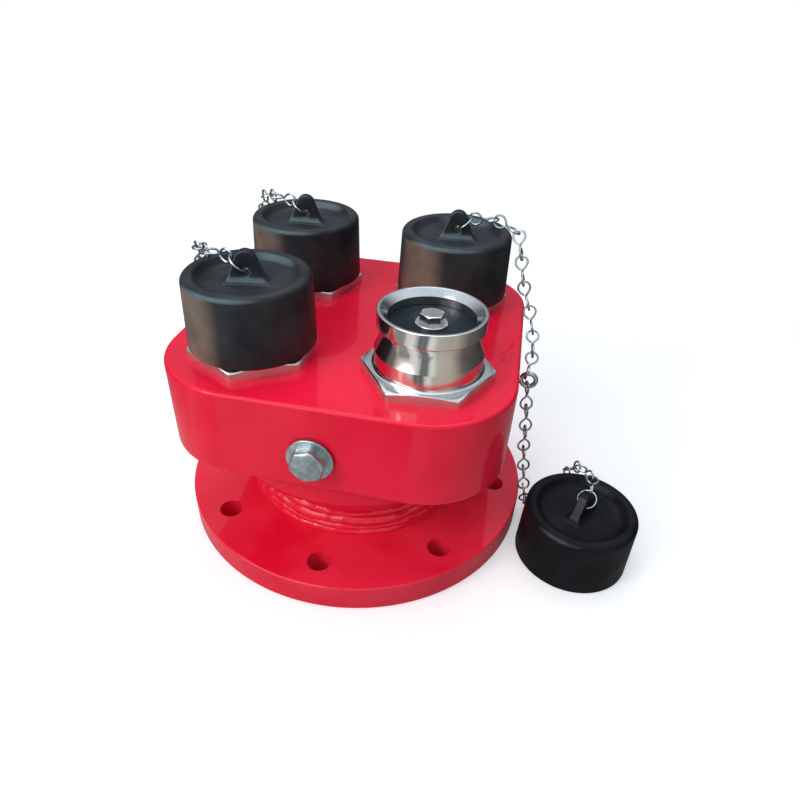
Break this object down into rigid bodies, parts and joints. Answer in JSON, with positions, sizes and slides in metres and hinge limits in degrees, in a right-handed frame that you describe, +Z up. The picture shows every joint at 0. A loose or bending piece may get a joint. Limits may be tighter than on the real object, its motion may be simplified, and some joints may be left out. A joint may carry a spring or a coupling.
{
  "type": "fire department connection",
  "caption": "Flanged four-way fire department connection: rounded square head with male hose inlets, back-pressure valves, rubber caps on chains and a drain plug.",
  "frame": {"origin": "centre of the flange's underside", "axes": "+Z up along the riser, -Y towards the drain plug, +X to the right seen from the drain plug's side"},
  "size_m": [0.3748, 0.285, 0.2335],
  "materials": {
    "red_paint": "gloss",
    "inlet_steel": "machined and polished",
    "valve_steel": "machined",
    "zinc_plate": "bright zinc plate",
    "cap_rubber": "moulded, satin",
    "valve_rubber": "smooth",
    "seal_fibre": "matt"
  },
  "bodies": {
    "root": {"base_flange": "red_paint", "neck_pipe": "red_paint", "lower_weld": "red_paint", "inner_weld": "red_paint", "upper_weld": "red_paint", "head": "red_paint", "drain_seal": "seal_fibre", "chain_eye_left": "zinc_plate", "chain_eye_right": "zinc_plate", "inlet_fl": "inlet_steel", "inlet_fr": "inlet_steel", "inlet_bl": "inlet_steel", "inlet_br": "inlet_steel", "valve_guide_fl": "valve_steel", "valve_guide_fr": "valve_steel", "valve_guide_bl": "valve_steel", "valve_guide_br": "valve_steel", "valve_spring_fl": "zinc_plate", "valve_spring_fr": "zinc_plate", "valve_spring_bl": "zinc_plate", "valve_spring_br": "zinc_plate", "cap_fr": "cap_rubber", "end_link_fr": "zinc_plate", "chain_fl": "zinc_plate", "chain_fr": "zinc_plate", "chain_bl": "zinc_plate", "chain_br": "zinc_plate"},
    "drain_plug": {"drain_plug": "zinc_plate"},
    "valve_fl": {"valve_disc_fl": "valve_rubber", "valve_plate_fl": "valve_steel", "valve_washer_fl": "valve_steel", "valve_spindle_fl": "valve_steel", "valve_nut_fl": "valve_steel"},
    "valve_fr": {"valve_disc_fr": "valve_rubber", "valve_plate_fr": "valve_steel", "valve_washer_fr": "valve_steel", "valve_spindle_fr": "valve_steel", "valve_nut_fr": "valve_steel"},
    "valve_bl": {"valve_disc_bl": "valve_rubber", "valve_plate_bl": "valve_steel", "valve_washer_bl": "valve_steel", "valve_spindle_bl": "valve_steel", "valve_nut_bl": "valve_steel"},
    "valve_br": {"valve_disc_br": "valve_rubber", "valve_plate_br": "valve_steel", "valve_washer_br": "valve_steel", "valve_spindle_br": "valve_steel", "valve_nut_br": "valve_steel"},
    "cap_fl": {"cap_fl": "cap_rubber", "end_link_fl": "zinc_plate"},
    "cap_bl": {"cap_bl": "cap_rubber", "end_link_bl": "zinc_plate"},
    "cap_br": {"cap_br": "cap_rubber", "end_link_br": "zinc_plate"}
  },
  "joints": [
    {"name": "cap_fl_pull", "type": "slide", "parent": "root", "child": "cap_fl", "axis": [0, 0, 1], "range_m": [0, 0.06], "deforming": ["chain_fl"]},
    {"name": "cap_bl_pull", "type": "slide", "parent": "root", "child": "cap_bl", "axis": [0, 0, 1], "range_m": [0, 0.06], "deforming": ["chain_bl"]},
    {"name": "cap_br_pull", "type": "slide", "parent": "root", "child": "cap_br", "axis": [0, 0, 1], "range_m": [0, 0.06], "deforming": ["chain_br"]},
    {"name": "valve_fl_open", "type": "slide", "parent": "root", "child": "valve_fl", "axis": [0, 0, -1], "range_m": [0, 0.02], "stiffness_N_per_m": 400, "springref_m": -0.012, "deforming": ["valve_spring_fl"]},
    {"name": "valve_fr_open", "type": "slide", "parent": "root", "child": "valve_fr", "axis": [0, 0, -1], "range_m": [0, 0.02], "stiffness_N_per_m": 400, "springref_m": -0.012, "deforming": ["valve_spring_fr"]},
    {"name": "valve_bl_open", "type": "slide", "parent": "root", "child": "valve_bl", "axis": [0, 0, -1], "range_m": [0, 0.02], "stiffness_N_per_m": 400, "springref_m": -0.012, "deforming": ["valve_spring_bl"]},
    {"name": "valve_br_open", "type": "slide", "parent": "root", "child": "valve_br", "axis": [0, 0, -1], "range_m": [0, 0.02], "stiffness_N_per_m": 400, "springref_m": -0.012, "deforming": ["valve_spring_br"]},
    {"name": "drain_plug_turn", "type": "hinge", "parent": "root", "child": "drain_plug", "pos_m": [-0.0022, -0.122, 0.123], "axis": [0, 1, 0], "continuous": true}
  ]
}
